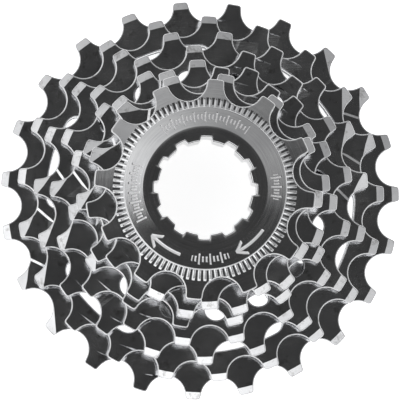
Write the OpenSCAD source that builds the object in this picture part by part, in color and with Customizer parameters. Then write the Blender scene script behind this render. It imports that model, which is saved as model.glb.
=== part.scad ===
/* [Chain] */
// Chain pitch, from one roller to the next
chain_pitch = 12.7; // [12.6:0.05:12.8]
// Depth of the roller seats below the pitch circle
seat_depth = 3.97; // [3.8:0.01:4.1]
// Radius of the round at the bottom of each tooth gap
seat_r = 4.5; // [4.3:0.05:4.6]
// Height of the tooth tips above the pitch circle
tip_height = 0.9; // [0.4:0.1:1.2]
// Slope of the tooth flanks from the middle line of the gap
flank_angle = 18; // [15:1:22]

/* [Stack] */
// Thickness of each sprocket
cog_t = 1.8; // [1.6:0.1:2.0]
// Thickness of the spacer between two sprockets
spacer_t = 3; // [2.8:0.1:3.2]
// Outer radius of the spacers
spacer_r = 19.6; // [18.6:0.1:20]

/* [Spline bore] */
// Radius to the bottom of the spline grooves
groove_r = 17.4; // [17.2:0.05:17.6]
// Radius to the crests of the spline teeth
crest_r = 16.2; // [15.9:0.05:16.4]
// Number of spline teeth
spline_count = 9; // [9:1:9]
// Width of a spline tooth
spline_w = 5; // [4:0.1:5.6]
// Width of the one wide spline tooth that sets the turn
key_w = 7; // [6:0.1:8]

/* [Teeth] */
// Radial width of the chamfer at the tooth tips
tip_chamfer = 1.8; // [1:0.1:2.2]
// Depth of the tip chamfer at the very tip
tip_drop = 0.6; // [0.3:0.05:0.7]
// Depth of the shift ramps at their step
ramp_depth = 0.3; // [0.2:0.05:0.6]

/* [Lightening] */
// Inner radius of the lightening windows
window_in = 23.5; // [22.5:0.1:24]
// Outer radius of the windows in the two largest sprockets
window_out = 36.4; // [34:0.1:37]
// Outer radius of the windows in the third sprocket
small_window_out = 29.8; // [28:0.1:30]
// Angle that each window spans
window_span = 38; // [30:1:44]
// Radius of the windows' corners
window_corner = 2.6; // [1:0.1:2.8]
// Radius of the round holes in the fourth sprocket
hole_r = 2.65; // [2:0.05:2.8]
// Radius of the circle that the round holes lie on
hole_circle_r = 26.8; // [26.5:0.05:26.9]

/* [Lockring] */
// Outer radius of the lockring flange
flange_r = 18.75; // [18.2:0.05:19]
// Thickness of the flange at its rim
flange_t = 2; // [1.6:0.1:2.4]
// Radius of the threaded shank
thread_r = 14.5; // [14.5:0.1:14.5]
// Length of the shank below the flange, with its neck
shank_len = 6.2; // [5.5:0.1:7]
// Height that the flange's cone rises from the rim to its flat top
cone_rise = 0.7; // [0.4:0.05:1]
// Bore radius at the lobes of the tool socket
lobe_r = 10.75; // [10.5:0.05:11]
// Bore radius at the bottom of the socket notches
notch_r = 11.75; // [11.6:0.05:12]

/* [Hidden] */
$fn = 96;
over = 1;

// Each sprocket from the back to the front: its teeth, the turn of its first tooth clockwise
// from +Y, the first tooth of each full shift gate, and of each gate with steps alone
COGS = [
    [23, 9.9, [0, 12], []],
    [21, 2.7, [1, 12], []],
    [19, 8.2, [1, 11], []],
    [17, 18.2, [9], [0]],
    [15, 21.7, [7], [0]],
    [14, 8.4, [8], [0]],
    [13, 11, [8], []],
    [12, 5.8, [], []]
];
window_count = 6;
window_turn = 45;
// How far a window's corner rounds stay inside its sides, so that they cross them cleanly
corner_gap = 0.05;
hole_count = 16;
hole_turn = 29.5;
rib_count = 98;
rib_depth = 0.45;
groove_w = 0.6;
rib_in = 15.6;
rib_out = 20.6;
boss_h = 0.6;
boss_foot_r = 21.1;
boss_flat_r = 18.5;
boss_cone = 0.16;
tooth_cone = 0.105;
washer_t = 0.6;
washer_r = 18.2;
washer_bore_r = 15.6;
notch_count = 12;
notch_turn = 88.7;
notch_mouth_w = 4;
notch_floor_w = 2.1;
cone_in = 14.2;
rim_round = 0.3;
thread_relief = 0.5;
pin_hole_r = 1.4;
pin_hole_at = 22.2;
pin_hole_turn = -175;
bevel_in = 2.1;
bevel_tilt = 36;
bevel_slope = 0.4;
bevel_reach = 4.2;
bevel_w = 10;
step_rise = 0.7;
step_side = 2.3;
step_tilt = 5;
step_w = 5;
step_len = 5.6;
ramp_w = 5;
ramp_len = 5;
ramp_tilt = 39;
ramp_in = 1.2;
ramp_side = 3.5;
neck_len = 1.2;
neck_r = 13.8;
// How far the flanks pass inside the seat circle, so that they cross it cleanly
seat_cross = 0.03;

pitch = cog_t + spacer_t;
front_z = 7 * pitch + cog_t;
washer_z = front_z + boss_h;
flange_z = washer_z + washer_t;

function teeth(i) = COGS[i][0];
function pitch_r(i) = chain_pitch / 2 / sin(180 / teeth(i));
function root_r(i) = pitch_r(i) - seat_depth;
function tip_r(i) = pitch_r(i) + tip_height;
function tooth_angle(i, k) = 90 - COGS[i][1] - k * 360 / teeth(i);

// One tooth gap, opening along +X from a round seat
module tooth_gap(i) {
    seat_x = root_r(i) + seat_r;
    start = -seat_r * sin(flank_angle);
    start_w = (seat_r - seat_cross) * cos(flank_angle) - seat_cross * sin(flank_angle);
    reach = tip_r(i) - seat_x + over;
    end_w = start_w + (reach - start) * tan(flank_angle);
    translate([seat_x, 0]) {
        circle(r = seat_r);
        polygon([[start, -start_w], [reach, -end_w], [reach, end_w], [start, start_w]]);
    }
}

// Groove circle with the spline teeth left standing in it
module spline_bore() {
    difference() {
        circle(r = groove_r);
        for (k = [0:spline_count - 1]) {
            w = k == 0 ? key_w : spline_w;
            rotate(90 + k * 360 / spline_count)
                translate([crest_r, -w / 2])
                    square([groove_r - crest_r + over, w]);
        }
    }
}

// Ring between the radii a and b, as far as the angle h on each side of +X
module ring_sector(a, b, h) {
    far = 2 * b;
    difference() {
        circle(r = b);
        circle(r = a);
        rotate(h) translate([-far, 0]) square([2 * far, far]);
        rotate(-h) translate([-far, -far]) square([2 * far, far]);
        translate([-far, -far]) square([far, 2 * far]);
    }
}

// One lightening window between the radii a and b, centred on +X, with rounded corners
module window(a, b) {
    c = window_corner;
    half = window_span / 2;
    ring_sector(a + c, b - c, half);
    ring_sector(a, b, half - asin(c / (a + c)));
    for (side = [-1, 1], r = [a + c, b - c])
        rotate(side * (half - asin(c / r))) translate([r, 0]) circle(r = c - corner_gap);
}

// Flat outline of a sprocket: toothed rim, spline bore and lightening
module cog_outline(i) {
    difference() {
        circle(r = tip_r(i));
        for (k = [0:teeth(i) - 1])
            rotate(tooth_angle(i, k + 0.5)) tooth_gap(i);
        spline_bore();
        if (i < 3)
            for (k = [0:window_count - 1])
                rotate(window_turn + k * 360 / window_count)
                    window(window_in, i < 2 ? window_out : small_window_out);
        if (i == 3)
            for (k = [0:hole_count - 1])
                rotate(hole_turn + k * 360 / hole_count)
                    translate([hole_circle_r, 0]) circle(r = hole_r);
        if (i == 5)
            rotate(pin_hole_turn) translate([pin_hole_at, 0]) circle(r = pin_hole_r);
    }
}

// Turned blank whose back and front edges carry the tip chamfers; the smallest sprocket's
// teeth are coned from the foot of its hub instead
module cog_blank(i) {
    r = tip_r(i) + over;
    slope = tip_drop / tip_chamfer;
    back_run = tip_chamfer + over;
    front_run = i < 7 ? back_run : r - boss_foot_r;
    front_slope = i < 7 ? slope : tooth_cone;
    rotate_extrude()
        polygon([
            [0, 0], [r - back_run, 0], [r, back_run * slope], [r, cog_t - front_run * front_slope],
            [r - front_run, cog_t], [0, cog_t]
        ]);
}

// Wedge that cuts to the depth d along the Y axis and runs out to nothing at x = w
module wedge(l, w, d) {
    rotate([90, 0, 0])
        linear_extrude(l, center = true)
            polygon([[0, over], [0, -d], [w, 0], [w, over]]);
}

// Slanted bevel across the tip of a shift tooth, deepest at its clockwise corner
module tooth_bevel(i) {
    translate([tip_r(i) - bevel_in, 0, cog_t])
        rotate([0, 0, -bevel_tilt])
            rotate([90, 0, 0])
                linear_extrude(bevel_w, center = true)
                    polygon([
                        [0, 0], [bevel_reach, -bevel_reach * bevel_slope],
                        [bevel_reach, over], [0, over]
                    ]);
}

// Step just above the root, from the gap before a shift tooth to its middle; the floor
// rises towards the axis
module tooth_step(i) {
    translate([root_r(i) + step_rise, step_side, cog_t])
        rotate([0, 0, 180 + step_tilt])
            wedge(step_len, step_w, ramp_depth);
}

// Ramp at the foot of the last shift tooth: its step runs inwards from the gap after it
module gate_ramp(i) {
    translate([root_r(i) - ramp_in, -ramp_side, cog_t])
        rotate([0, 0, ramp_tilt])
            wedge(ramp_len, ramp_w, ramp_depth);
}

// Steps of a shift gate, on its first two teeth
module gate_steps(i, first) {
    for (k = [0, 1])
        rotate(tooth_angle(i, first + k)) tooth_step(i);
}

// Whole shift gate: two stepped teeth, two bevelled teeth and a ramp, going clockwise
module shift_gate(i, first) {
    gate_steps(i, first);
    for (k = [2, 3])
        rotate(tooth_angle(i, first + k)) tooth_bevel(i);
    rotate(tooth_angle(i, first + 3)) gate_ramp(i);
}

module cog(i) {
    difference() {
        intersection() {
            linear_extrude(cog_t) cog_outline(i);
            cog_blank(i);
        }
        for (first = COGS[i][2]) shift_gate(i, first);
        for (first = COGS[i][3]) gate_steps(i, first);
    }
}

// Sprocket i in its place in the stack
module placed_cog(i) {
    color("silver") translate([0, 0, i * pitch]) cog(i);
}

module sprocket_23t() placed_cog(0);
module sprocket_21t() placed_cog(1);
module sprocket_19t() placed_cog(2);
module sprocket_17t() placed_cog(3);
module sprocket_15t() placed_cog(4);
module sprocket_14t() placed_cog(5);
module sprocket_13t() placed_cog(6);

// Radial serrations that the lockring washer bites on
module ribs() {
    for (k = [0:rib_count - 1])
        rotate(k * 360 / rib_count)
            translate([rib_in, -groove_w / 2, boss_h - rib_depth])
                cube([rib_out - rib_in + over, groove_w, over]);
}

// Smallest sprocket: its hub stands proud of the teeth and carries the serrations
module sprocket_12t() {
    color("silver")
        translate([0, 0, 7 * pitch]) {
            cog(7);
            translate([0, 0, cog_t])
                difference() {
                    intersection() {
                        translate([0, 0, -cog_t / 2])
                            linear_extrude(cog_t / 2 + boss_h) cog_outline(7);
                        rotate_extrude()
                            polygon([
                                [0, -cog_t], [boss_foot_r, -cog_t], [boss_foot_r, 0],
                                [rib_out, boss_h - boss_cone * (rib_out - boss_flat_r)],
                                [boss_flat_r, boss_h], [0, boss_h]
                            ]);
                    }
                    ribs();
                }
        }
}

// Plain ring between the sprockets i - 1 and i
module spacer(i) {
    color("dimgray")
        translate([0, 0, i * pitch - spacer_t])
            difference() {
                cylinder(r = spacer_r, h = spacer_t);
                translate([0, 0, -over]) cylinder(r = groove_r, h = spacer_t + 2 * over);
            }
}

module spacer_1() spacer(1);
module spacer_2() spacer(2);
module spacer_3() spacer(3);
module spacer_4() spacer(4);
module spacer_5() spacer(5);
module spacer_6() spacer(6);
module spacer_7() spacer(7);

module lockring_washer() {
    color("gray")
        translate([0, 0, washer_z])
            difference() {
                cylinder(r = washer_r, h = washer_t);
                translate([0, 0, -over]) cylinder(r = washer_bore_r, h = washer_t + 2 * over);
            }
}

// Lockring: coned flange, a threaded shank under a thin neck, and a notched bore for the tool
module lockring() {
    rim_z = flange_t - cone_rise;
    color("gainsboro")
        translate([0, 0, flange_z])
            difference() {
                rotate_extrude()
                    polygon([
                        [lobe_r, -shank_len], [thread_r - thread_relief, -shank_len],
                        [thread_r, thread_relief - shank_len], [thread_r, -neck_len],
                        [neck_r, -neck_len], [neck_r, 0], [flange_r, 0],
                        [flange_r, rim_z - rim_round], [flange_r - rim_round, rim_z],
                        [cone_in, flange_t], [lobe_r, flange_t]
                    ]);
                for (k = [0:notch_count - 1])
                    rotate(notch_turn + k * 360 / notch_count)
                        translate([0, 0, -shank_len - over])
                            linear_extrude(shank_len + flange_t + 2 * over)
                                polygon([
                                    [lobe_r - over, -notch_mouth_w / 2],
                                    [notch_r, -notch_floor_w / 2], [notch_r, notch_floor_w / 2],
                                    [lobe_r - over, notch_mouth_w / 2]
                                ]);
            }
}

sprocket_23t();
sprocket_21t();
sprocket_19t();
sprocket_17t();
sprocket_15t();
sprocket_14t();
sprocket_13t();
sprocket_12t();
spacer_1();
spacer_2();
spacer_3();
spacer_4();
spacer_5();
spacer_6();
spacer_7();
lockring_washer();
lockring();
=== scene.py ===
"""Loose bicycle cassette: eight toothed sprockets, seven spacers, a washer and a notched lockring.

Every piece is worked out in millimetres from a few driving sizes, placed at the height that the frame
gives its node, and turned into a mesh in metres.
"""

import logging
import math
from collections.abc import Callable
from dataclasses import dataclass, field, replace
from enum import Enum

import bpy
import numpy as np
from mathutils import Matrix, Vector
from mathutils.geometry import delaunay_2d_cdt


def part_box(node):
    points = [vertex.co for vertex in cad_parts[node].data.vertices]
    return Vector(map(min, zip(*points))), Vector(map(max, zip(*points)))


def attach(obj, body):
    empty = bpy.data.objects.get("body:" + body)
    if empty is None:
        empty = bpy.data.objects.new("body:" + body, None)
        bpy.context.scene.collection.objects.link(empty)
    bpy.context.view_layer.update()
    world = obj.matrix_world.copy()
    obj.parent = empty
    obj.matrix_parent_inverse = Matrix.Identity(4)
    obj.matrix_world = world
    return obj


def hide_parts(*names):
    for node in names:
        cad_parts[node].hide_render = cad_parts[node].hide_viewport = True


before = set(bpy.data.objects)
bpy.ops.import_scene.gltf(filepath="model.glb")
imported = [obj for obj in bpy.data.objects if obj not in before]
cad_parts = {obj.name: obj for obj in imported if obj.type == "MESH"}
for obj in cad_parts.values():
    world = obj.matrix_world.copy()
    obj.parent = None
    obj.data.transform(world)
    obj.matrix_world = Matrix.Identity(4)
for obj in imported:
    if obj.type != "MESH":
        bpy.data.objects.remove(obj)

log = logging.getLogger("cassette")
logging.basicConfig(level=logging.INFO, format="%(name)s: %(message)s")

MM = 0.001
CHAIN_PITCH = 12.7
SPACERS = 7
FULL_TURN = 2 * np.pi

# How near two points of a face are one point, and the least doubled area of a triangle, in millimetres
SAME_POINT = 1e-5
LEAST_AREA = 1e-9
# The least divisors of a mitre, which keep sharp corners from shooting out
LEAST_MITRE = 0.4
LEAST_NORMAL = 0.9

Range = tuple[float, float]
Triple = tuple[float, float, float]
Heights = Callable[[np.ndarray], np.ndarray]
Socket = bpy.types.NodeSocket


# ---------------------------------------------------------------------------------------------
# Plane geometry
# ---------------------------------------------------------------------------------------------

def turn_points(points: np.ndarray, degrees: float) -> np.ndarray:
    """Turns (n, 2) plane points counter-clockwise about the origin."""
    c, s = math.cos(math.radians(degrees)), math.sin(math.radians(degrees))
    return points @ np.array([[c, s], [-s, c]])


def arc_points(radius: float, start: float, end: float, count: int) -> np.ndarray:
    """Points radius times (cos a, sin a), with a even from start to end in degrees."""
    a = np.radians(np.linspace(start, end, count))
    return radius * np.stack([np.cos(a), np.sin(a)], axis=1)


def repeat_round(points: np.ndarray, count: int, first: float = 0.0) -> np.ndarray:
    """Copies a run of points round the axis, clockwise copies last, as one closed loop.

    Args:
        points: an (n, 2) array that goes counter-clockwise.
        count: the number of copies in a full turn.
        first: the angle of the first copy in degrees.

    Returns:
        A (count * n, 2) array.
    """
    a = np.radians(first + 360.0 / count * np.arange(count))
    turn = np.stack([np.stack([np.cos(a), np.sin(a)], 1), np.stack([-np.sin(a), np.cos(a)], 1)], 1)
    return np.einsum("nj,kji->kni", points, turn).reshape(-1, 2)


def round_corner(a: np.ndarray, corner: np.ndarray, b: np.ndarray, count: int) -> np.ndarray:
    """Quadratic curve past a corner: (1-t)^2 a + 2t(1-t) corner + t^2 b, with t even from 0 to 1."""
    t = np.linspace(0.0, 1.0, count)[:, None]
    return (1 - t) ** 2 * a + 2 * t * (1 - t) * corner + t ** 2 * b


def inside_loops(points: np.ndarray, loops: list[np.ndarray]) -> np.ndarray:
    """Says which points lie inside an odd number of the loops, by counting edges crossed going +X.

    Args:
        points: an (n, 2) array.
        loops: closed loops, each an (m, 2) array.

    Returns:
        A boolean array of n.
    """
    crossings = np.zeros(len(points), int)
    for loop in loops:
        a, b = loop, np.roll(loop, -1, axis=0)
        low, high = np.minimum(a[:, 1], b[:, 1]), np.maximum(a[:, 1], b[:, 1])
        y = points[:, 1:2]
        hit = (y >= low) & (y < high)
        rise = np.where(b[:, 1] == a[:, 1], 1.0, b[:, 1] - a[:, 1])
        x = a[:, 0] + (y - a[:, 1]) / rise * (b[:, 0] - a[:, 0])
        crossings += np.sum(hit & (x > points[:, 0:1]), axis=1)
    return crossings % 2 == 1


def inset_loop(loop: np.ndarray, distance: float) -> np.ndarray:
    """Moves a closed loop sideways by its mitred normals, to the left of its direction if positive.

    Each corner moves along (n1 + n2) / (1 + n1.n2), where n1 and n2 are the normals of its two edges.

    Args:
        loop: the closed loop, an (n, 2) array.
        distance: how far each edge moves.

    Returns:
        The moved (n, 2) array.
    """
    edge = np.roll(loop, -1, axis=0) - loop
    edge /= np.linalg.norm(edge, axis=1, keepdims=True)
    normal = np.stack([-edge[:, 1], edge[:, 0]], axis=1)
    before = np.roll(normal, 1, axis=0)
    dot = np.sum(normal * before, axis=1, keepdims=True)
    return loop + distance * (normal + before) / np.maximum(1 + dot, LEAST_MITRE)


def fill_plane(loops: list[np.ndarray], creases: list[np.ndarray]) -> tuple[np.ndarray, np.ndarray]:
    """Triangles over the area between closed loops, with every crease line kept as edges.

    Args:
        loops: the outer loop and any holes.
        creases: open lines; the parts of them outside the area are dropped.

    Returns:
        The (n, 2) vertices and the (t, 3) triangles, counter-clockwise.
    """
    runs = [(loop, True) for loop in loops] + [(line, False) for line in creases]
    edges, start = [], 0
    for run, closed in runs:
        index = np.arange(start, start + len(run))
        pairs = np.stack([index, np.roll(index, -1)], axis=1)
        edges.append(pairs if closed else pairs[:-1])
        start += len(run)
    points = np.concatenate([run for run, _ in runs])
    corners, sides = [Vector(p) for p in points], np.concatenate(edges).tolist()
    out = delaunay_2d_cdt(corners, sides, [], 0, SAME_POINT, False)
    verts = np.array([tuple(v) for v in out[0]])
    tris = np.array(out[2], dtype=int)
    a, b, c = (verts[tris[:, k]] for k in range(3))
    area = (b[:, 0] - a[:, 0]) * (c[:, 1] - a[:, 1]) - (b[:, 1] - a[:, 1]) * (c[:, 0] - a[:, 0])
    tris = np.where(area[:, None] > 0, tris, tris[:, ::-1])
    keep = inside_loops((a + b + c) / 3, loops) & (np.abs(area) > LEAST_AREA)
    tris = tris[keep]
    used, flat = np.unique(tris, return_inverse=True)
    return verts[used], flat.reshape(-1, 3)


# ---------------------------------------------------------------------------------------------
# Meshes
# ---------------------------------------------------------------------------------------------

def make_piece(name: str, verts: np.ndarray, faces: list[np.ndarray], smooth: list[bool],
               attributes: dict[str, np.ndarray] | None = None) -> bpy.types.Object:
    """Puts worked-out arrays into a mesh object at the origin.

    Args:
        name: the object's name.
        verts: (n, 3) points in millimetres.
        faces: arrays of triangles or quads, each (f, 3) or (f, 4).
        smooth: for each array of faces, whether it is shaded smooth.
        attributes: point attributes by name, each an array of n.

    Returns:
        The new object, linked to the scene.
    """
    mesh = bpy.data.meshes.new(name)
    loops = np.concatenate([f.ravel() for f in faces]).astype(np.int32)
    sizes = np.concatenate([np.full(len(f), f.shape[1]) for f in faces])
    starts = np.concatenate([[0], np.cumsum(sizes)[:-1]]).astype(np.int32)
    mesh.vertices.add(len(verts))
    mesh.vertices.foreach_set("co", (verts * MM).astype(np.float32).ravel())
    mesh.loops.add(len(loops))
    mesh.loops.foreach_set("vertex_index", loops)
    mesh.polygons.add(len(sizes))
    mesh.polygons.foreach_set("loop_start", starts)
    mesh.update(calc_edges=True)
    mesh.validate()
    shade = np.concatenate([np.full(len(f), s) for f, s in zip(faces, smooth)])
    mesh.polygons.foreach_set("use_smooth", shade)
    for key, values in (attributes or {}).items():
        layer = mesh.attributes.new(key, "FLOAT", "POINT")
        layer.data.foreach_set("value", values.astype(np.float32))
    mesh.update()
    piece = bpy.data.objects.new(name, mesh)
    bpy.context.scene.collection.objects.link(piece)
    return piece


def grid_faces(rows: int, columns: int) -> np.ndarray:
    """Quads of a grid that closes on itself both ways, its points numbered row by row.

    Args:
        rows: the number of rows.
        columns: the number of points in a row.

    Returns:
        A (rows * columns, 4) array.
    """
    i, j = np.arange(rows)[:, None], np.arange(columns)[None, :]
    i2, j2 = (i + 1) % rows, (j + 1) % columns
    quads = np.stack([i * columns + j, i * columns + j2, i2 * columns + j2, i2 * columns + j], axis=-1)
    return quads.reshape(-1, 4)


def dress(piece: bpy.types.Object, finish: bpy.types.Material, node: str, body: str,
          slot: str) -> bpy.types.Object:
    """Gives a piece its finish, the node that it stands for, its body and its material slot.

    Args:
        piece: the piece.
        finish: its material.
        node: the CAD node that it replaces.
        body: the body that it rides on.
        slot: the material slot; not used.

    Returns:
        The same piece.
    """
    piece.data.materials.append(finish)
    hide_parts(node)
    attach(piece, body)
    return piece


@dataclass(frozen=True)
class PlateEdge:
    """How a plate's edge is rounded: the two radii and the number of steps in each round."""

    front: float = 0.3
    back: float = 0.2
    steps: int = 4

    def rows(self) -> list[tuple[bool, float, float]]:
        """The rows down the wall, from the front face to the back face.

        At the angle a from the face, a round of radius r stands r sin a further out and r (1 - cos a)
        in from the face.

        Returns:
            For each row, whether it hangs from the front, how far out it is and how far in from its face.
        """
        angles = [math.pi / 2 * k / self.steps for k in range(self.steps + 1)]
        down = [(True, self.front * math.sin(a), self.front * (1 - math.cos(a))) for a in angles]
        up = [(False, self.front - self.back * (1 - math.sin(a)), self.back * (1 - math.cos(a)))
              for a in reversed(angles)]
        return down + up


def make_plate(name: str, loops: list[np.ndarray], creases: list[np.ndarray], front: Heights,
               back: Heights, edge: PlateEdge) -> bpy.types.Object:
    """A plate with rounded edges, whose two faces follow height functions of (x, y).

    The faces are the area between the loops, pulled in by the front edge's radius. Each wall row stands
    further out along the mitred outline, and its height is the nearer face's height less the round.

    Args:
        name: the object's name.
        loops: outer loop counter-clockwise, holes clockwise.
        creases: the lines along which the faces bend.
        front: function from (n, 2) points to heights of the front face.
        back: the same for the back face.
        edge: the rounding.

    Returns:
        The closed plate.
    """
    plane, tris = fill_plane([inset_loop(loop, edge.front) for loop in loops], creases)
    count = len(plane)
    pairs = np.concatenate([tris[:, [0, 1]], tris[:, [1, 2]], tris[:, [2, 0]]])
    code, back_code = pairs[:, 0] * count + pairs[:, 1], pairs[:, 1] * count + pairs[:, 0]
    rim = pairs[~np.isin(code, back_code)]
    run = plane[rim[:, 1]] - plane[rim[:, 0]]
    run /= np.linalg.norm(run, axis=1, keepdims=True)
    outward = np.stack([run[:, 1], -run[:, 0]], axis=1)
    total = np.zeros((count, 2))
    np.add.at(total, rim[:, 0], outward)
    np.add.at(total, rim[:, 1], outward)
    ring = np.unique(rim)
    length = np.linalg.norm(total[ring], axis=1, keepdims=True)
    mitre = 2 * total[ring] / np.maximum(length, LEAST_NORMAL) ** 2
    z_front, z_back = front(plane), back(plane)
    place = np.zeros(count, int)
    place[ring] = np.arange(len(ring))
    rows = edge.rows()
    points = [np.column_stack([plane, z_front]), np.column_stack([plane, z_back])]
    for hangs, out, deep in rows[1:]:
        z = z_front[ring] - deep if hangs else z_back[ring] + deep
        points.append(np.column_stack([plane[ring] + out * mitre, z]))
    first = [rim] + [2 * count + k * len(ring) + place[rim] for k in range(len(rows) - 1)] + [rim + count]
    quads = [np.column_stack([a[:, 0], b[:, 0], b[:, 1], a[:, 1]]) for a, b in zip(first, first[1:])]
    return make_piece(name, np.concatenate(points), [tris, tris[:, ::-1] + count, np.concatenate(quads)],
                      [False, False, True])


def make_turned(name: str, radius: np.ndarray, height: np.ndarray, sharp_from: float,
                attributes: dict[str, np.ndarray] | None = None) -> bpy.types.Object:
    """A closed ring: row v of the grid is the loop of points (radius cos u, radius sin u, height).

    Args:
        name: the object's name.
        radius: (rows, columns) radii, one column for each even step of the turn u.
        height: (rows, columns) heights.
        sharp_from: the angle between faces in degrees from which an edge is sharp.
        attributes: (rows, columns) arrays by name.

    Returns:
        The closed ring, its section going counter-clockwise in (radius, height).
    """
    rows, columns = radius.shape
    u = FULL_TURN * np.arange(columns) / columns
    verts = np.stack([radius * np.cos(u), radius * np.sin(u), height], axis=-1).reshape(-1, 3)
    flat = {key: values.ravel() for key, values in (attributes or {}).items()}
    piece = make_piece(name, verts, [grid_faces(rows, columns)[:, ::-1]], [True], flat)
    piece.data.set_sharp_from_angle(angle=math.radians(sharp_from))
    return piece


# ---------------------------------------------------------------------------------------------
# Finishes
# ---------------------------------------------------------------------------------------------

class Tree:
    """A node tree with short calls for the nodes that the finishes and the sky share."""

    def __init__(self, tree: bpy.types.NodeTree) -> None:
        """Empties the tree."""
        self.tree = tree
        self.tree.nodes.clear()

    def new(self, kind: str) -> bpy.types.Node:
        """A new shader node, given the end of its kind's name."""
        return self.tree.nodes.new("ShaderNode" + kind)

    def link(self, source: Socket, target: Socket) -> None:
        """Joins an output socket to an input socket."""
        self.tree.links.new(source, target)

    def math(self, operation: str, *values: Socket | float) -> Socket:
        """A Math node.

        Args:
            operation: the node's operation.
            values: numbers, which are set on the sockets, or sockets, which are linked.

        Returns:
            The result's socket.
        """
        node = self.new("Math")
        node.operation = operation
        for socket, value in zip(node.inputs, values):
            if isinstance(value, (int, float)):
                socket.default_value = value
            else:
                self.link(value, socket)
        return node.outputs[0]

    def spread(self, value: Socket, old: Range, new: Range = (0.0, 1.0), course: str = "LINEAR") -> Socket:
        """Maps a value from one range to another, clamped.

        Args:
            value: the value's socket.
            old: the range that it comes from.
            new: the range that it goes to.
            course: the node's kind of interpolation.

        Returns:
            The mapped value's socket.
        """
        node = self.new("MapRange")
        node.interpolation_type = course
        for key, number in zip(("From Min", "From Max", "To Min", "To Max"), old + new):
            node.inputs[key].default_value = number
        self.link(value, node.inputs["Value"])
        return node.outputs["Result"]

    def parts(self, vector: Socket) -> list[Socket]:
        """Splits a vector.

        Args:
            vector: the vector's socket.

        Returns:
            The sockets of its X, Y and Z.
        """
        node = self.new("SeparateXYZ")
        self.link(vector, node.inputs[0])
        return list(node.outputs)


class Coat(Tree):
    """A new metal or plastic material, and the calls that paint it."""

    def __init__(self, name: str, metallic: float = 0.0) -> None:
        """Starts the material with one shader.

        Args:
            name: the material's name.
            metallic: 1 for metal, 0 for anything else.
        """
        self.material = bpy.data.materials.new(name)
        self.material.use_nodes = True
        super().__init__(self.material.node_tree)
        self.shader = self.new("BsdfPrincipled")
        self.shader.inputs["Metallic"].default_value = metallic
        self.link(self.shader.outputs["BSDF"], self.new("OutputMaterial").inputs["Surface"])

    def place(self, scale: Triple = (1.0, 1.0, 1.0)) -> Socket:
        """Object coordinates in metres, scaled.

        Args:
            scale: the factors along X, Y and Z.

        Returns:
            The vector's socket.
        """
        mapping = self.new("Mapping")
        mapping.inputs["Scale"].default_value = scale
        self.link(self.new("TexCoord").outputs["Object"], mapping.inputs["Vector"])
        return mapping.outputs["Vector"]

    def noise(self, vector: Socket, scale: float, detail: float, rough: float) -> Socket:
        """A Noise texture.

        Args:
            vector: where it is read.
            scale: its scale on that vector.
            detail: how many finer layers it has.
            rough: how strong the finer layers are.

        Returns:
            Its value's socket.
        """
        node = self.new("TexNoise")
        for key, number in (("Scale", scale), ("Detail", detail), ("Roughness", rough)):
            node.inputs[key].default_value = number
        self.link(vector, node.inputs["Vector"])
        return node.outputs["Fac"]

    def polar(self, radial: float, around: float) -> Socket:
        """A vector of (radius * radial, angle * around, 0) about the Z axis, for turning marks.

        Args:
            radial: the factor on the radius in metres.
            around: the factor on the angle in radians.

        Returns:
            The vector's socket.
        """
        x, y, _ = self.parts(self.place())
        r = self.math("SQRT", self.math("ADD", self.math("MULTIPLY", x, x), self.math("MULTIPLY", y, y)))
        join = self.new("CombineXYZ")
        self.link(self.math("MULTIPLY", r, radial), join.inputs["X"])
        self.link(self.math("MULTIPLY", self.math("ARCTAN2", y, x), around), join.inputs["Y"])
        return join.outputs["Vector"]

    def blend(self, factor: Socket, low: Socket | Triple, high: Socket | Triple) -> Socket:
        """A colour mixed by a factor.

        Args:
            factor: the factor's socket.
            low: the colour at 0.
            high: the colour at 1.

        Returns:
            The mixed colour's socket.
        """
        node = self.new("Mix")
        node.data_type = "RGBA"
        self.link(factor, node.inputs["Factor"])
        colour_a, colour_b, result = 6, 7, 2
        for key, value in ((colour_a, low), (colour_b, high)):
            if isinstance(value, tuple):
                node.inputs[key].default_value = (*value, 1.0)
            else:
                self.link(value, node.inputs[key])
        return node.outputs[result]

    def finish(self, colour: Socket, rough: Socket, height: Socket, strength: float,
               distance: float) -> bpy.types.Material:
        """Feeds the shader.

        Args:
            colour: the base colour.
            rough: the roughness.
            height: what raises the surface.
            strength: how strongly the height bends the light.
            distance: the height's size in metres.

        Returns:
            The material.
        """
        self.link(colour, self.shader.inputs["Base Color"])
        self.link(rough, self.shader.inputs["Roughness"])
        bump = self.new("Bump")
        bump.inputs["Strength"].default_value = strength
        bump.inputs["Distance"].default_value = distance
        self.link(height, bump.inputs["Height"])
        self.link(bump.outputs["Normal"], self.shader.inputs["Normal"])
        return self.material


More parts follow.
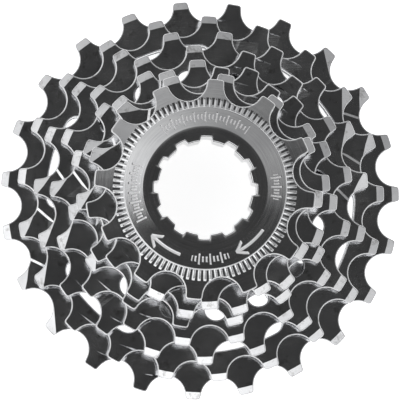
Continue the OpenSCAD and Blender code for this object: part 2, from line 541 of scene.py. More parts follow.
@dataclass(frozen=True)
class PlatedSteel:
    """Polished plated steel: a near mirror with grinding marks, hazy patches and rubbed spots.

    In all finishes a noise is given by its scale, detail and roughness, and a bump by its strength and
    its distance in metres.
    """

    name: str = "plated_steel"
    bright: Triple = (0.80, 0.805, 0.815)
    dull: Triple = (0.62, 0.625, 0.64)
    rubbed: Triple = (0.36, 0.355, 0.35)
    rough: Range = (0.07, 0.17)
    ground: Range = (0.0, 0.08)
    patches: Triple = (90.0, 4.0, 0.6)
    grind: Triple = (6.0, 2.0, 0.6)
    grind_stretch: Triple = (60.0, 900.0, 60.0)
    spots: Triple = (420.0, 5.0, 0.65)
    shade_from: Range = (0.35, 0.7)
    rough_from: Range = (0.4, 0.75)
    ground_from: Range = (0.5, 0.8)
    spots_from: Range = (0.56, 0.7)
    spots_cover: float = 0.75
    patch_relief: float = 2.0
    bump: Range = (0.05, 0.0002)

    def build(self) -> bpy.types.Material:
        """Makes the material.

        Returns:
            The material.
        """
        coat = Coat(self.name, 1.0)
        patches = coat.noise(coat.place(), *self.patches)
        grind = coat.noise(coat.place(self.grind_stretch), *self.grind)
        spots = coat.spread(coat.noise(coat.place(), *self.spots), self.spots_from, (0.0, self.spots_cover))
        shade = coat.blend(coat.spread(patches, self.shade_from), self.dull, self.bright)
        haze = coat.math("ADD", coat.spread(patches, self.rough_from, self.rough),
                         coat.spread(grind, self.ground_from, self.ground))
        relief = coat.math("ADD", grind, coat.math("MULTIPLY", patches, self.patch_relief))
        return coat.finish(coat.blend(spots, shade, self.rubbed), haze, relief, *self.bump)


@dataclass(frozen=True)
class TurnedSteel:
    """Plated steel with the fine rings that a lathe tool leaves, and etched marks where asked for."""

    name: str
    rough: Range
    bump: Range
    marks: bool = False
    bright: Triple = (0.80, 0.805, 0.81)
    dull: Triple = (0.58, 0.585, 0.60)
    etched: Triple = (0.93, 0.93, 0.94)
    etched_rough: float = 0.35
    etched_cover: float = 0.75
    ring_stretch: Range = (5200.0, 1.2)
    rings: Triple = (1.0, 4.0, 0.7)
    patches: Triple = (140.0, 3.0, 0.5)
    shares: Range = (0.6, 0.4)
    shade_from: Range = (0.35, 0.65)
    rough_from: Range = (0.3, 0.7)

    def build(self) -> bpy.types.Material:
        """Makes the material; where marks are asked for, the point attribute "mark" is etched pale.

        Returns:
            The material.
        """
        coat = Coat(self.name, 1.0)
        rings = coat.noise(coat.polar(*self.ring_stretch), *self.rings)
        patches = coat.noise(coat.place(), *self.patches)
        tone = coat.math("ADD", coat.math("MULTIPLY", rings, self.shares[0]),
                         coat.math("MULTIPLY", patches, self.shares[1]))
        shade = coat.blend(coat.spread(tone, self.shade_from), self.dull, self.bright)
        rough = coat.spread(tone, self.rough_from, self.rough)
        if self.marks:
            attribute = coat.new("Attribute")
            attribute.attribute_name = "mark"
            mark = attribute.outputs["Fac"]
            shade = coat.blend(mark, shade, self.etched)
            rough = coat.math("ADD", rough, coat.math("MULTIPLY", mark, self.etched_rough))
            metal = coat.math("SUBTRACT", 1.0, coat.math("MULTIPLY", mark, self.etched_cover))
            coat.link(metal, coat.shader.inputs["Metallic"])
        return coat.finish(shade, rough, rings, *self.bump)


@dataclass(frozen=True)
class MouldedPlastic:
    """Black moulded plastic with a fine spark-eroded grain and a few rubbed patches."""

    name: str = "moulded_plastic"
    dark: Triple = (0.012, 0.012, 0.014)
    worn: Triple = (0.05, 0.05, 0.055)
    rough: Range = (0.42, 0.6)
    grain: Triple = (3800.0, 2.0, 0.5)
    patches: Triple = (160.0, 3.0, 0.6)
    shade_from: Range = (0.45, 0.75)
    rough_from: Range = (0.3, 0.7)
    bump: Range = (0.3, 0.00006)

    def build(self) -> bpy.types.Material:
        """Makes the material.

        Returns:
            The material.
        """
        coat = Coat(self.name)
        grain = coat.noise(coat.place(), *self.grain)
        patches = coat.noise(coat.place(), *self.patches)
        shade = coat.blend(coat.spread(patches, self.shade_from), self.dark, self.worn)
        return coat.finish(shade, coat.spread(patches, self.rough_from, self.rough), grain, *self.bump)


# ---------------------------------------------------------------------------------------------
# Sprockets
# ---------------------------------------------------------------------------------------------

@dataclass(frozen=True)
class Windows:
    """A ring of wide openings between two radii, in millimetres and degrees."""

    outer: float
    inner: float = 23.5
    half_span: float = 19.0
    corner: float = 2.6
    count: int = 6
    first: float = 45.0
    corner_points: int = 7
    outer_points: int = 8
    inner_points: int = 6

    def loops(self) -> list[np.ndarray]:
        """The outline of each window, clockwise.

        Each corner is a round of radius c, whose centre stands asin(c / r) inside the window's side ray
        at the radius r. Arcs at both radii join the rounds, and stop a little short of them.

        Returns:
            One closed (n, 2) array for each window.
        """
        c, short = self.corner, 2
        low, high = self.inner + c, self.outer - c
        runs = []
        for side, r, start in ((-1, high, -90), (1, high, 0), (1, low, 90), (-1, low, 180)):
            ray = side * (self.half_span - math.degrees(math.asin(c / r)))
            runs.append(turn_points(arc_points(c, start, start + 90, self.corner_points) + [r, 0], ray))
            if (side, start) == (-1, -90):
                runs.append(arc_points(self.outer, ray + short, -ray - short, self.outer_points))
            if (side, start) == (1, 90):
                runs.append(arc_points(self.inner, ray - short, short - ray, self.inner_points))
        window = np.concatenate(runs)
        return [turn_points(window, self.first + 360.0 / self.count * k)[::-1] for k in range(self.count)]


@dataclass(frozen=True)
class Holes:
    """A ring of round holes, in millimetres and degrees."""

    radius: float
    at: float
    first: float
    count: int = 1
    points: int = 18

    def loops(self) -> list[np.ndarray]:
        """The outline of each hole, clockwise."""
        circle = arc_points(self.radius, 360, 360 / self.points, self.points) + np.array([self.at, 0])
        return [turn_points(circle, self.first + 360.0 / self.count * k) for k in range(self.count)]


class Lightening(Enum):
    """What is cut out of a sprocket's web."""

    NONE = None
    WIDE_WINDOWS = Windows(outer=36.4)
    NARROW_WINDOWS = Windows(outer=29.8)
    HOLES = Holes(2.65, at=26.8, first=29.5, count=16, points=24)
    LOCATING_HOLE = Holes(1.4, at=22.2, first=-175.0)


@dataclass(frozen=True)
class ToothForm:
    """The shape of the teeth that all sprockets share, in millimetres and degrees."""

    seat_depth: float = 3.97
    seat_r: float = 4.5
    tip_height: float = 0.9
    flank: float = 18.0
    corner: float = 0.65
    tip_chamfer: float = 1.8
    tip_drop: float = 0.6
    tip_half_w: float = 3.4
    seat_points: int = 17
    side_points: int = 6
    tip_points: int = 4
    crease_points: int = 5


@dataclass(frozen=True)
class SplineForm:
    """The bore that slides on the freehub, in millimetres."""

    groove_r: float = 17.4
    crest_r: float = 16.2
    count: int = 9
    tooth_w: float = 5.0
    key_w: float = 7.0
    crest_points: int = 8
    groove_points: int = 12

    def loop(self) -> np.ndarray:
        """The bore's outline, clockwise: groove arcs joined to flat-sided teeth, the first one wider.

        Returns:
            A closed (n, 2) array.
        """
        runs = []
        pitch = 360.0 / self.count
        for k in range(self.count):
            width = self.key_w if k == 0 else self.tooth_w
            following = self.key_w if k == self.count - 1 else self.tooth_w
            middle = 90.0 + k * pitch
            half_crest = math.degrees(math.asin(width / 2 / self.crest_r))
            half_groove = math.degrees(math.asin(width / 2 / self.groove_r))
            next_groove = math.degrees(math.asin(following / 2 / self.groove_r))
            runs.append(arc_points(self.crest_r, middle - half_crest, middle + half_crest,
                                   self.crest_points))
            runs.append(arc_points(self.groove_r, middle + half_groove, middle + pitch - next_groove,
                                   self.groove_points))
        return np.concatenate(runs)[::-1]


@dataclass(frozen=True)
class Pocket:
    """A shallow ramp sunk into a face: a wall along a line, and a floor that rises away from it.

    In its own frame the wall's top edge lies along the local Y axis through the origin, and the wall
    falls along +X. The floor rises from the full depth at the wall to nothing over the width. Past the
    ends of its full length the pocket fades out, over one distance at -Y and another at +Y.
    """

    at: Range
    turn: float
    length: float
    width: float
    depth: float
    fade_low: float
    fade_high: float
    steepness: float = 0.4

    def drop(self, points: np.ndarray) -> np.ndarray:
        """How far the face is sunk: the lesser of steepness * x and the floor's depth.

        Args:
            points: (n, 2) points of the face.

        Returns:
            An array of n.
        """
        x, y = turn_points(points - np.array(self.at), -self.turn).T
        half = self.length / 2
        along = np.minimum((y + half + self.fade_low) / self.fade_low,
                           (half + self.fade_high - y) / self.fade_high)
        floor = self.depth * np.clip(along, 0, 1) * np.clip(1 - x / self.width, 0, 1)
        return np.minimum(np.clip(x, 0, None) * self.steepness, floor)

    def creases(self) -> list[np.ndarray]:
        """The lines along which the pocket's faces bend.

        Returns:
            Open lines, each an (n, 2) array.
        """
        low, high = -self.length / 2, self.length / 2
        start, end = low - self.fade_low, high + self.fade_high
        foot, w = self.depth / (self.steepness + self.depth / self.width), self.width
        wall = [(0, start), (foot, low), (foot, high), (0, end), (0, start)]
        rim = [(0, start), (w, start), (w, end), (0, end)]
        lines = [wall, rim, [(foot, low), (w, low)], [(foot, high), (w, high)]]
        return [turn_points(np.array(line, float), self.turn) + np.array(self.at) for line in lines]


@dataclass(frozen=True)
class Bevel:
    """A flat slanted cut across a tooth: the face falls away beyond a line."""

    at: Range
    turn: float
    slope: float
    reach: float = 4.2
    spill: float = 1.3

    def drop(self, points: np.ndarray) -> np.ndarray:
        """How far the face falls: slope times the distance beyond the line, on this tooth only.

        Args:
            points: (n, 2) points of the face.

        Returns:
            An array of n.
        """
        offset = points - np.array(self.at)
        x = turn_points(offset, -self.turn)[:, 0]
        near = np.linalg.norm(offset, axis=1) < self.reach * self.spill
        return np.where(near, self.slope * np.clip(x, 0, None), 0)

    def creases(self) -> list[np.ndarray]:
        """The line where the cut starts."""
        line = np.array([(0.0, -self.reach), (0.0, self.reach)])
        return [turn_points(line, self.turn) + np.array(self.at)]


@dataclass(frozen=True)
class GateForm:
    """The cuts of a shift gate, in the frame of their tooth, with +X outward through its middle.

    The step and the ramp are placed from the root circle, and the bevel from the tip circle.
    """

    step: Pocket = Pocket((0.4, 5.0), 185.0, length=0.6, width=6.0, depth=0.25, fade_low=3.0,
                          fade_high=5.2)
    ramp: Pocket = Pocket((-1.2, -3.5), 39.0, length=5.0, width=5.0, depth=0.25, fade_low=3.0,
                          fade_high=3.0)
    bevel: Bevel = Bevel((-2.1, 0.0), -36.0, slope=0.4)


@dataclass
class Sprocket:
    """One toothed plate of the stack."""

    node: str
    body: str
    teeth: int
    first_tooth: float
    gates: list[int]
    step_gates: list[int] = field(default_factory=list)
    lightening: Lightening = Lightening.NONE
    form: ToothForm = field(default_factory=ToothForm)
    bore: SplineForm = field(default_factory=SplineForm)
    gate: GateForm = field(default_factory=GateForm)
    thick: float = 1.8

    def __post_init__(self) -> None:
        """Works out the circles and the heights from the chain pitch and the frame."""
        self.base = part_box(self.node)[0][2] / MM
        self.pitch_r = CHAIN_PITCH / 2 / math.sin(math.pi / self.teeth)
        self.root_r = self.pitch_r - self.form.seat_depth
        self.tip_r = self.pitch_r + self.form.tip_height

    def tooth_angle(self, k: float) -> float:
        """The direction of tooth k in degrees from +X; teeth are counted clockwise."""
        return 90.0 - self.first_tooth - k * 360.0 / self.teeth

    def rim_loop(self) -> np.ndarray:
        """The toothed outline, counter-clockwise.

        Each gap is a round seat of the seat radius, left on both sides by straight flanks at the flank
        angle, which meet the tip circle with small rounded corners.

        Returns:
            A closed (n, 2) array.
        """
        f = self.form
        flank = math.radians(f.flank)
        centre = np.array([self.root_r + f.seat_r, 0.0])
        a = np.linspace(-1, 1, f.seat_points) * (math.pi / 2 - flank)
        seat = centre + f.seat_r * np.stack([-np.cos(a), np.sin(a)], axis=1)
        along = np.array([math.cos(flank), math.sin(flank)])
        start = seat[-1]
        b = start @ along
        run = -b + math.sqrt(b * b - start @ start + self.tip_r ** 2)
        corner = start + run * along
        corner_angle = math.degrees(math.atan2(corner[1], corner[0]))
        on_tip = corner_angle + math.degrees(f.corner / self.tip_r)
        side = start + along * np.linspace(0, run - f.corner, f.side_points)[1:-1, None]
        end = arc_points(self.tip_r, on_tip, on_tip, 1)[0]
        turn = round_corner(corner - f.corner * along, corner, end, f.side_points)
        tip = arc_points(self.tip_r, on_tip, 180.0 / self.teeth, f.tip_points)[1:]
        upper = np.concatenate([side, turn, tip])
        lower = (upper * np.array([1, -1]))[::-1][1:]
        return repeat_round(np.concatenate([lower, seat, upper]), self.teeth, self.tooth_angle(0.5))

    def hole_loops(self) -> list[np.ndarray]:
        """The outlines of whatever is cut out of the web, clockwise."""
        return self.lightening.value.loops() if self.lightening.value else []

    def square_teeth(self) -> set[int]:
        """The teeth without a tip chamfer: all four of each whole gate, two where it has steps alone."""
        whole = {(g + k) % self.teeth for g in self.gates for k in range(4)}
        return whole | {(g + k) % self.teeth for g in self.step_gates for k in (0, 1)}

    def cuts(self) -> list[Pocket | Bevel]:
        """The shift gates' cuts, placed on their teeth: two steps, two bevels and a ramp, clockwise.

        Returns:
            The cuts, in the sprocket's frame.
        """
        found = [self.on_tooth(self.gate.step, gate + k, self.root_r)
                 for gate in self.gates + self.step_gates for k in (0, 1)]
        for gate in self.gates:
            found += [self.on_tooth(self.gate.bevel, gate + k, self.tip_r) for k in (2, 3)]
            found.append(self.on_tooth(self.gate.ramp, gate + 3, self.root_r))
        return found

    def on_tooth(self, cut: Pocket | Bevel, k: int, radius: float) -> Pocket | Bevel:
        """Moves a cut to its place on a tooth.

        Args:
            cut: the cut in the frame of its tooth.
            k: the tooth.
            radius: the circle that the cut is placed from.

        Returns:
            The cut in the sprocket's frame.
        """
        angle = self.tooth_angle(k)
        x, y = turn_points(np.array([(radius + cut.at[0], cut.at[1])]), angle)[0]
        return replace(cut, at=(float(x), float(y)), turn=cut.turn + angle)

    def tip_creases(self) -> list[np.ndarray]:
        """The arcs where the tip chamfers start.

        Returns:
            One open (n, 2) line for each tooth.
        """
        r = self.tip_r - self.form.tip_chamfer
        half = math.degrees(self.form.tip_half_w / r)
        middles = [self.tooth_angle(k) for k in range(self.teeth)]
        return [arc_points(r, a - half, a + half, self.form.crease_points) for a in middles]

    def chamfer_drop(self, points: np.ndarray, skip: set[int]) -> np.ndarray:
        """How far the tip chamfer lowers the face: in proportion to the distance beyond its crease.

        Args:
            points: (n, 2) points of the face.
            skip: the teeth that have no chamfer.

        Returns:
            An array of n.
        """
        r = np.linalg.norm(points, axis=1)
        f = self.form
        drop = np.clip(r - (self.tip_r - f.tip_chamfer), 0, None) * f.tip_drop / f.tip_chamfer
        angle = np.degrees(np.arctan2(points[:, 1], points[:, 0]))
        tooth = np.round((90.0 - self.first_tooth - angle) * self.teeth / 360.0).astype(int) % self.teeth
        return np.where(np.isin(tooth, list(skip)), 0, drop)

    def build(self, finish: bpy.types.Material) -> bpy.types.Object:
        """Makes the sprocket's mesh and dresses it.

        Args:
            finish: its material.

        Returns:
            The piece.
        """
        cuts = self.cuts()
        square = self.square_teeth()

        def front(points: np.ndarray) -> np.ndarray:
            """The front face's height: the plate less the deepest of the cuts there."""
            drops = [self.tip_fall(points, square)] + [cut.drop(points) for cut in cuts]
            return self.base + self.thick - np.max(drops, axis=0) + self.hub_height(points)

        def back(points: np.ndarray) -> np.ndarray:
            """The back face's height: flat, with the tips chamfered."""
            return self.base + self.chamfer_drop(points, set())

        creases = self.tip_creases() + self.hub_creases()
        for cut in cuts:
            creases += cut.creases()
        loops = [self.rim_loop(), self.bore.loop()] + self.hole_loops()
        piece = make_plate(self.node + "_plate", loops, creases, front, back, PlateEdge())
        return dress(piece, finish, self.node, self.body, "polished_sprocket")

    def tip_fall(self, points: np.ndarray, square: set[int]) -> np.ndarray:
        """How far the front face falls towards the tips: the chamfer, on all but the square teeth."""
        return self.chamfer_drop(points, square)

    def hub_height(self, points: np.ndarray) -> np.ndarray:
        """How far the hub stands above the toothed plate; nothing on a plain sprocket."""
        return np.zeros(len(points))

    def hub_creases(self) -> list[np.ndarray]:
        """The lines along which the hub's face bends; none on a plain sprocket."""
        return []


@dataclass
class SerratedSprocket(Sprocket):
    """The smallest sprocket: a raised hub face with a ring of radial serrations, and coned teeth."""

    ribs: int = 98
    rib_depth: float = 0.45
    hub_h: float = 0.6
    flat_r: float = 18.5
    hub_cone: float = 0.16
    rib_out: float = 20.6
    foot_r: float = 21.1
    rib_in: float = 15.0
    cone_slope: float = 0.105
    parts: tuple[float, ...] = (0.19, 0.27, 0.46, 0.54, 0.73, 0.81)
    points_per_rib: int = 6
    profile_at: tuple[float, ...] = (0.0, 0.08, 0.46, 0.62, 1.0)
    profile_fall: tuple[float, ...] = (0.0, 0.0, 0.19, 1.0, 1.0)

    def profile(self, points: np.ndarray) -> np.ndarray:
        """The serration's depth, 1 in the valleys and 0 on the crests, by the turn t within one pitch.

        With w = |2t - 1|, the crest falls a little up to w = 0.46, a steep flank falls from there to
        w = 0.62, and the rest is valley.

        Args:
            points: (n, 2) points of the face.

        Returns:
            An array of n.
        """
        degrees = np.degrees(np.arctan2(points[:, 1], points[:, 0]))
        w = np.abs(2 * ((degrees * self.ribs / 360.0) % 1.0) - 1)
        return np.interp(w, self.profile_at, self.profile_fall)

    def tip_fall(self, points: np.ndarray, square: set[int]) -> np.ndarray:
        """The teeth fall away evenly from the foot of the hub to their tips."""
        return self.cone_slope * np.clip(np.linalg.norm(points, axis=1) - self.foot_r, 0, None)

    def hub_height(self, points: np.ndarray) -> np.ndarray:
        """The hub's height: flat, then a shallow cone cut by the serrations, then a steep foot.

        The valleys are as deep as the rib depth, but never below the tooth plate.

        Args:
            points: (n, 2) points of the face.

        Returns:
            An array of n.
        """
        r = np.linalg.norm(points, axis=1)
        rim = self.hub_h - self.hub_cone * (self.rib_out - self.flat_r)
        top = np.interp(r, [self.flat_r, self.rib_out, self.foot_r], [self.hub_h, rim, 0])
        return top - np.minimum(self.rib_depth, top) * self.profile(points)

    def hub_creases(self) -> list[np.ndarray]:
        """Rays along the ribs' edges, and the circles where the hub's slope changes.

        Returns:
            Open lines, each an (n, 2) array.
        """
        step = 360.0 / self.ribs
        ends = np.array([[self.rib_in, 0.0], [self.foot_r, 0.0]])
        rays = [turn_points(ends, (k + part) * step) for part in self.parts for k in range(self.ribs)]
        deep_r = self.flat_r + (self.hub_h - self.rib_depth) / self.hub_cone
        circles = [arc_points(r, 0, 360, self.points_per_rib * self.ribs + 1)
                   for r in (self.flat_r, deep_r, self.rib_out, self.foot_r)]
        return rays + circles


# ---------------------------------------------------------------------------------------------
# Spacers, washer and lockring
# ---------------------------------------------------------------------------------------------

def ring_section(inner: float, outer: float, low: float, high: float, edge: float,
                 steps: int = 4) -> np.ndarray:
    """A rectangle with rounded corners in (radius, height), counter-clockwise.

    Each corner is a quarter circle: its centre plus edge times (cos a, sin a).

    Args:
        inner: the least radius.
        outer: the greatest radius.
        low: the least height.
        high: the greatest height.
        edge: the radius of the corners.
        steps: how many steps each corner has.

    Returns:
        A closed (n, 2) array.
    """
    runs = []
    for cr, cz, start in ((outer - edge, low + edge, -90), (outer - edge, high - edge, 0),
                          (inner + edge, high - edge, 90), (inner + edge, low + edge, 180)):
        runs.append(arc_points(edge, start, start + 90, steps + 1) + np.array([cr, cz]))
    return np.concatenate(runs)


@dataclass
class Ring:
    """A turned ring with rounded edges, in millimetres."""

    node: str
    body: str
    slot: str
    bore_r: float
    outer_r: float
    edge: float
    columns: int
    sharp_from: float = 32.0

    def section(self, low: float, high: float) -> np.ndarray:
        """The ring's section in (radius, height) between two heights."""
        return ring_section(self.bore_r, self.outer_r, low, high, self.edge)

    def build(self, finish: bpy.types.Material) -> bpy.types.Object:
        """Makes the ring's mesh and dresses it.

        Args:
            finish: its material.

        Returns:
            The piece.
        """
        low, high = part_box(self.node)
        section = self.section(low[2] / MM, high[2] / MM)
        radius, height = (np.repeat(part[:, None], self.columns, axis=1) for part in section.T)
        piece = make_turned(self.node + "_ring", radius, height, self.sharp_from)
        return dress(piece, finish, self.node, self.body, self.slot)


@dataclass
class Spacer(Ring):
    """A moulded ring between two sprockets, with a shallow groove round its outside."""

    slot: str = "spacer"
    bore_r: float = 17.4
    outer_r: float = 19.6
    edge: float = 0.3
    columns: int = 180
    groove_half_w: float = 0.45
    groove_depth: float = 0.35
    groove_slope_w: float = 0.2

    def section(self, low: float, high: float) -> np.ndarray:
        """The ring's section with the groove let into its outside, half-way up.

        Args:
            low: the least height.
            high: the greatest height.

        Returns:
            A closed (n, 2) array.
        """
        plain = super().section(low, high)
        middle, half, floor = (low + high) / 2, self.groove_half_w, self.outer_r - self.groove_depth
        groove = np.array([(self.outer_r, middle - half), (floor, middle - half + self.groove_slope_w),
                           (floor, middle + half - self.groove_slope_w), (self.outer_r, middle + half)])
        corner = len(plain) // 4
        return np.concatenate([plain[:corner], groove, plain[corner:]])


@dataclass
class Washer(Ring):
    """The thin ring between the serrations and the lockring."""

    node: str = "lockring_washer"
    body: str = "washer_body"
    slot: str = "washer"
    bore_r: float = 15.6
    outer_r: float = 18.2
    edge: float = 0.12
    columns: int = 240


@dataclass(frozen=True)
class EtchedMarks:
    """Plain marks on the lockring's cone, in millimetres and in degrees clockwise from +Y.

    An arrow is given by the angles of its tail and its head, and a group of ticks by its middle, its
    span and its step.
    """

    circle_r: float = 16.3
    soft: float = 0.05
    arrows: tuple[Range, ...] = ((126.0, 154.0), (201.0, 228.5))
    shaft_half_w: float = 0.26
    shaft_short: float = 0.2
    barb_lean: Range = (0.82, 0.57)
    barb_half_w: float = 0.22
    barb_reach: Range = (2.2, 0.1)
    ticks: tuple[Triple, ...] = ((0.0, 72.0, 3.0), (89.0, 20.0, 2.5), (176.0, 30.0, 3.0), (266.0, 46.0, 2.5))
    tick_r: float = 16.35
    tick_half_w: float = 0.16
    tick_half_long: float = 1.15
    tick_half_short: float = 0.55
    tick_margin: float = 0.1

    def strength(self, u: np.ndarray, r: np.ndarray) -> np.ndarray:
        """How strongly each point of the cone is etched.

        An arrow is a shaft along the circle, and two barbs that lean back from its head. In a group,
        every third tick is longer.

        Args:
            u: the points' angles in radians, counter-clockwise from +X.
            r: their radii.

        Returns:
            Values from 0 to 1.
        """
        clock = (90.0 - np.degrees(u)) % 360.0
        per_degree = math.pi / 180.0 * self.circle_r
        outside = []
        for tail, head in self.arrows:
            along, across = (clock - head) * per_degree, np.abs(r - self.circle_r)
            ends = np.maximum(along + self.shaft_short, (tail - head) * per_degree - along)
            outside.append(np.maximum(across - self.shaft_half_w, ends))
            barb = np.abs(across * self.barb_lean[0] + along * self.barb_lean[1]) - self.barb_half_w
            reach = np.maximum(-along - self.barb_reach[0], along - self.barb_reach[1])
            outside.append(np.maximum(barb, reach))
        for middle, span, step in self.ticks:
            place = (clock - middle + 180.0) % 360.0 - 180.0
            number = np.round(place / step)
            across = np.abs(place - number * step) * per_degree - self.tick_half_w
            along = np.abs(r - self.tick_r) - np.where(number % 3 == 0, self.tick_half_long,
                                                       self.tick_half_short)
            ends = np.abs(place) - span / 2 - self.tick_margin
            outside.append(np.maximum(np.maximum(across, along), ends))
        return np.clip(0.5 - np.min(outside, axis=0) / self.soft, 0, 1)


@dataclass(frozen=True)
class ShankForm:
    """The threaded tube under the lockring's flange, in millimetres."""

    length: float = 6.2
    edge: float = 0.2
    lead_in: float = 0.7
    lead_len: float = 0.45
    thread_r: float = 14.5
    clearance: float = 0.02
    thread_depth: float = 0.55
    thread_pitch: float = 1.0
    thread_rows: int = 76
    flank_gain: float = 2.4
    crest_share: float = 0.1
    fade_len: float = 0.5
    faded: float = 0.6
    neck_len: float = 1.2
    neck_r: float = 13.8
    neck_slope: float = 0.15
    neck_edge: float = 0.05
    columns: int = 360
    sharp_from: float = 50.0


@dataclass
class Lockring:
    """The notched nut: a coned flange with etched marks, and a threaded shank, in millimetres."""

    flange_r: float = 18.75
    flange_t: float = 2.0
    rim: float = 0.35
    rim_steps: int = 5
    cone_out: float = 18.4
    cone_in: float = 14.2
    cone_rise: float = 0.7
    cone_rows: int = 38
    flat_w: float = 1.0
    lobe_r: float = 10.75
    notch_r: float = 11.75
    notches: int = 12
    notch_turn: float = 88.7
    notch_flank: Range = (5.2, 8.4)
    bore_edge: float = 0.2
    bore_round: float = 0.35
    etch_depth: float = 0.1
    columns: int = 1440
    sharp_from: float = 38.0
    marks: EtchedMarks = field(default_factory=EtchedMarks)
    tube: ShankForm = field(default_factory=ShankForm)

    def __post_init__(self) -> None:
        """Takes the flange's height from the frame."""
        self.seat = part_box("lockring")[1][2] / MM - self.flange_t

    def bore_radius(self, u: np.ndarray) -> np.ndarray:
        """The notched bore: within one notch pitch the radius blends smoothly from notch floor to lobe.

        Args:
            u: angles in radians.

        Returns:
            The radius at each angle.
        """
        turn = (np.degrees(u) - self.notch_turn) * self.notches / 360.0
        away = np.abs((turn + 0.5) % 1.0 - 0.5) * 360.0 / self.notches
        floor_end, lobe_start = self.notch_flank
        t = np.clip((away - floor_end) / (lobe_start - floor_end), 0, 1)
        return self.notch_r + (self.lobe_r - self.notch_r) * t * t * (3 - 2 * t)

    def flange(self) -> bpy.types.Object:
        """The flange's closed grid: underside, rounded rim, cone, flat inner band and notched bore.

        Returns:
            The piece.
        """
        u = FULL_TURN * np.arange(self.columns) / self.columns
        bore, ones, low = self.bore_radius(u), np.ones(self.columns), self.seat
        top = low + self.flange_t
        rim_top = top - self.cone_rise
        rows = [(bore + self.bore_edge, low * ones)]
        rim = ring_section(self.cone_in, self.flange_r, low, rim_top, self.rim, self.rim_steps)
        rows += [(r * ones, z * ones) for r, z in rim[:2 * (self.rim_steps + 1)]]
        etched = [0 * ones] * len(rows)
        for t in np.linspace(0.0, 1.0, self.cone_rows + 1)[1:]:
            r = self.cone_out + (self.cone_in - self.cone_out) * t
            mark = self.marks.strength(u, r * ones)
            rows.append((r * ones, rim_top + self.cone_rise * t - self.etch_depth * mark))
            etched.append(mark)
        rows.append(((self.cone_in - self.flat_w) * ones, top * ones))
        for a in np.linspace(0, np.pi / 2, self.rim_steps + 1):
            rows.append((bore + self.bore_round * (1 - math.sin(a)),
                         (top - self.bore_round * (1 - math.cos(a))) * ones))
        rows.append((bore, (low + self.bore_edge) * ones))
        etched += [0 * ones] * (len(rows) - len(etched))
        radius, height = np.array(rows).swapaxes(0, 1)
        return make_turned("lockring_flange", radius, height, self.sharp_from, {"mark": np.array(etched)})

    def shank(self) -> bpy.types.Object:
        """The threaded tube: its outside is a helix of rounded vees, its inside the notched bore.

        At the turn u and the height z the thread's radius is the crest radius less the depth times a
        triangle wave of (z / pitch - u / 2 pi), faded out at both ends. A thin neck joins the flange.

        Returns:
            The piece.
        """
        f = self.tube
        u = FULL_TURN * np.arange(f.columns) / f.columns
        bore, ones = self.bore_radius(u), np.ones(f.columns)
        bottom, top = self.seat - f.length, self.seat
        low, high = bottom + f.lead_len, top - f.neck_len
        z = np.linspace(low, high, f.thread_rows)[:, None] * ones
        phase = (z / f.thread_pitch - u / FULL_TURN) % 1.0
        wave = np.clip(np.abs(phase - 0.5) * f.flank_gain - f.crest_share, 0, 1)
        fade = np.clip((z - low) / f.fade_len, 0, 1) * np.clip((high - z) / f.fade_len, 0, 1)
        thread = f.thread_r - f.clearance - f.thread_depth * (wave * fade + f.faded * (1 - fade))
        rows = [(bore + f.edge, bottom * ones), ((f.thread_r - f.lead_in) * ones, bottom * ones)]
        rows += list(zip(thread, z))
        rows += [(f.neck_r * ones, (high + f.neck_slope) * ones), (f.neck_r * ones, top * ones),
                 (bore + f.neck_edge, top * ones), (bore, (bottom + f.edge) * ones)]
        radius, height = np.array(rows).swapaxes(0, 1)
        return make_turned("lockring_shank", radius, height, f.sharp_from)

    def build(self, face: bpy.types.Material, plain: bpy.types.Material) -> list[bpy.types.Object]:
        """Makes the flange and the shank, and dresses each in its material."""
        return [dress(piece, finish, "lockring", "lockring_body", "lockring")
                for piece, finish in ((self.flange(), face), (self.shank(), plain))]


# ---------------------------------------------------------------------------------------------
# Studio
# ---------------------------------------------------------------------------------------------

@dataclass(frozen=True)
class Sky:
    """Soft light by the direction (x, y, z) of the sky, with s = sqrt(1 - z z), a sine from the zenith.

    Overhead lies a dark patch, up to an edge that is nearest the zenith towards +Y and -X. The upper
    sky beyond it is bright, and strongest towards -Y and -X. Lower down the sky is dim, and along the
    horizon runs a bright strip, even all round. A leaning level is given as (level, along x, along y)
    and stands for level + (along_x x + along_y y) / s.
    """

    edge: Triple = (0.368, 0.045, -0.11)
    edge_half_w: float = 0.08
    upper: Triple = (1.14, -0.42, -0.6)
    upper_from: Range = (0.5, 0.62)
    dim: float = 0.22
    strip_up_to: Range = (0.05, 0.17)
    strip: float = 1.5
    everywhere: float = 0.067
    least_s: float = 0.02

    def build(self) -> None:
        """Sets up the world's nodes."""
        world = bpy.data.worlds.new("studio")
        bpy.context.scene.world = world
        world.use_nodes = True
        n = Tree(world.node_tree)
        light = n.new("Background")
        n.link(light.outputs[0], n.new("OutputWorld").inputs[0])
        x, y, z = n.parts(n.new("TexCoord").outputs["Generated"])
        s = n.math("SQRT", n.math("MAXIMUM", n.math("SUBTRACT", 1.0, n.math("MULTIPLY", z, z)), 0.0))

        def leaning(level: float, along_x: float, along_y: float) -> Socket:
            """A level that changes with the compass direction."""
            lean = n.math("ADD", n.math("MULTIPLY", x, along_x), n.math("MULTIPLY", y, along_y))
            return n.math("ADD", n.math("DIVIDE", lean, n.math("MAXIMUM", s, self.least_s)), level)

        def step(value: Socket, old: Range, new: Range) -> Socket:
            """A smooth step from one level to another."""
            return n.spread(value, old, new, "SMOOTHSTEP")

        past_edge = n.math("SUBTRACT", s, leaning(*self.edge))
        upper = n.math("MULTIPLY", leaning(*self.upper), step(z, self.upper_from, (self.dim, 1.0)))
        strength = n.math("MAXIMUM", upper, step(z, self.strip_up_to, (self.strip, 0.0)))
        lit = step(past_edge, (-self.edge_half_w, self.edge_half_w), (0.0, 1.0))
        total = n.math("ADD", n.math("MULTIPLY", lit, strength), self.everywhere)
        n.link(total, light.inputs["Strength"])


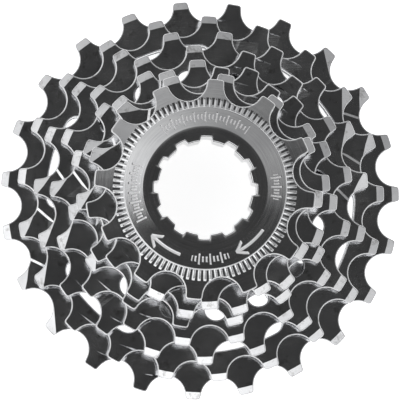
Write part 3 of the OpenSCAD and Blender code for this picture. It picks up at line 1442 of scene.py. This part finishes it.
@dataclass
class Studio:
    """A glowing white floor, in millimetres, a soft sky, and the camera, in metres."""

    distance: float = 0.902
    azimuth: float = -24.0
    elevation: float = 85.4
    lens: float = 341.0
    film: float = 36.0
    far: float = 10.0
    centre: Triple = (0.0, 0.0, 0.001)
    floor_reach: float = 1200.0
    floor_z: float = -0.02
    floor_glow: float = 0.9
    floor_rough: float = 0.9
    floor_shades: Range = (0.93, 0.95)
    floor_noise: Triple = (3.0, 3.0, 0.5)

    def floor(self) -> None:
        """A wide white sheet under the set, lit evenly from within."""
        reach = self.floor_reach
        x = np.array([[-reach, -reach], [reach, -reach], [reach, reach], [-reach, reach]])
        points = np.column_stack([x, np.full(4, self.floor_z)])
        sheet = make_piece("floor", points, [np.array([[0, 1, 2, 3]])], [False])
        coat = Coat("floor_paint")
        coat.shader.inputs["Roughness"].default_value = self.floor_rough
        low, high = ((shade, shade, shade) for shade in self.floor_shades)
        shade = coat.blend(coat.noise(coat.place(), *self.floor_noise), low, high)
        coat.link(shade, coat.shader.inputs["Base Color"])
        coat.shader.inputs["Emission Color"].default_value = (1.0, 1.0, 1.0, 1.0)
        coat.shader.inputs["Emission Strength"].default_value = self.floor_glow
        sheet.data.materials.append(coat.material)

    def camera(self) -> None:
        """A long lens nearly straight above, level with the rows of the set."""
        a, e = math.radians(self.azimuth), math.radians(self.elevation)
        back = Vector((math.sin(a) * math.cos(e), -math.cos(a) * math.cos(e), math.sin(e)))
        right = Vector((0.0, 1.0, 0.0)).cross(back).normalized()
        up = back.cross(right)
        data = bpy.data.cameras.new("camera")
        data.lens = self.lens
        data.sensor_width = self.film
        data.clip_end = self.far
        camera = bpy.data.objects.new("camera", data)
        place = Vector(self.centre) + back * self.distance
        camera.matrix_world = Matrix.Translation(place) @ Matrix((right, up, back)).transposed().to_4x4()
        bpy.context.scene.collection.objects.link(camera)
        bpy.context.scene.camera = camera

    def build(self) -> None:
        """Sets up the whole stage."""
        self.floor()
        Sky().build()
        self.camera()
        bpy.context.scene.view_settings.view_transform = "Standard"


# ---------------------------------------------------------------------------------------------
# The set
# ---------------------------------------------------------------------------------------------

def sprockets() -> list[Sprocket]:
    """The eight sprockets from the back to the front.

    Returns:
        Sprockets with their node, body, teeth, first tooth's turn, whole gates and gates of steps alone.
    """
    return [
        Sprocket("sprocket_23t", "largest_sprocket", 23, 9.9, [0, 12], [], Lightening.WIDE_WINDOWS),
        Sprocket("sprocket_21t", "cog_21t_body", 21, 2.7, [1, 12], [], Lightening.WIDE_WINDOWS),
        Sprocket("sprocket_19t", "cog_19t_body", 19, 8.2, [1, 11], [], Lightening.NARROW_WINDOWS),
        Sprocket("sprocket_17t", "cog_17t_body", 17, 18.2, [9], [0], Lightening.HOLES),
        Sprocket("sprocket_15t", "cog_15t_body", 15, 21.7, [7], [0]),
        Sprocket("sprocket_14t", "cog_14t_body", 14, 8.4, [8], [0], Lightening.LOCATING_HOLE),
        Sprocket("sprocket_13t", "cog_13t_body", 13, 11.0, [8]),
        SerratedSprocket("sprocket_12t", "cog_12t_body", 12, 5.8, []),
    ]


def main() -> None:
    """Builds the stage and every piece."""
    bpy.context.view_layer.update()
    Studio().build()
    plated = PlatedSteel().build()
    etched = TurnedSteel("etched_steel", rough=(0.07, 0.15), bump=(0.08, 0.00008), marks=True).build()
    serrated = TurnedSteel("serrated_steel", rough=(0.08, 0.16), bump=(0.05, 0.00008)).build()
    plastic = MouldedPlastic().build()
    washer_steel = TurnedSteel("washer_steel", rough=(0.3, 0.45), bump=(0.25, 0.00008)).build()
    pieces = [sprocket.build(serrated if isinstance(sprocket, SerratedSprocket) else plated)
              for sprocket in sprockets()]
    pieces += [Spacer(f"spacer_{k}", f"spacer_{k}_body").build(plastic) for k in range(1, SPACERS + 1)]
    pieces.append(Washer().build(washer_steel))
    pieces += Lockring().build(etched, plated)
    for piece in pieces:
        log.info("%s: %d faces", piece.name, len(piece.data.polygons))


if __name__ == "__main__":
    main()
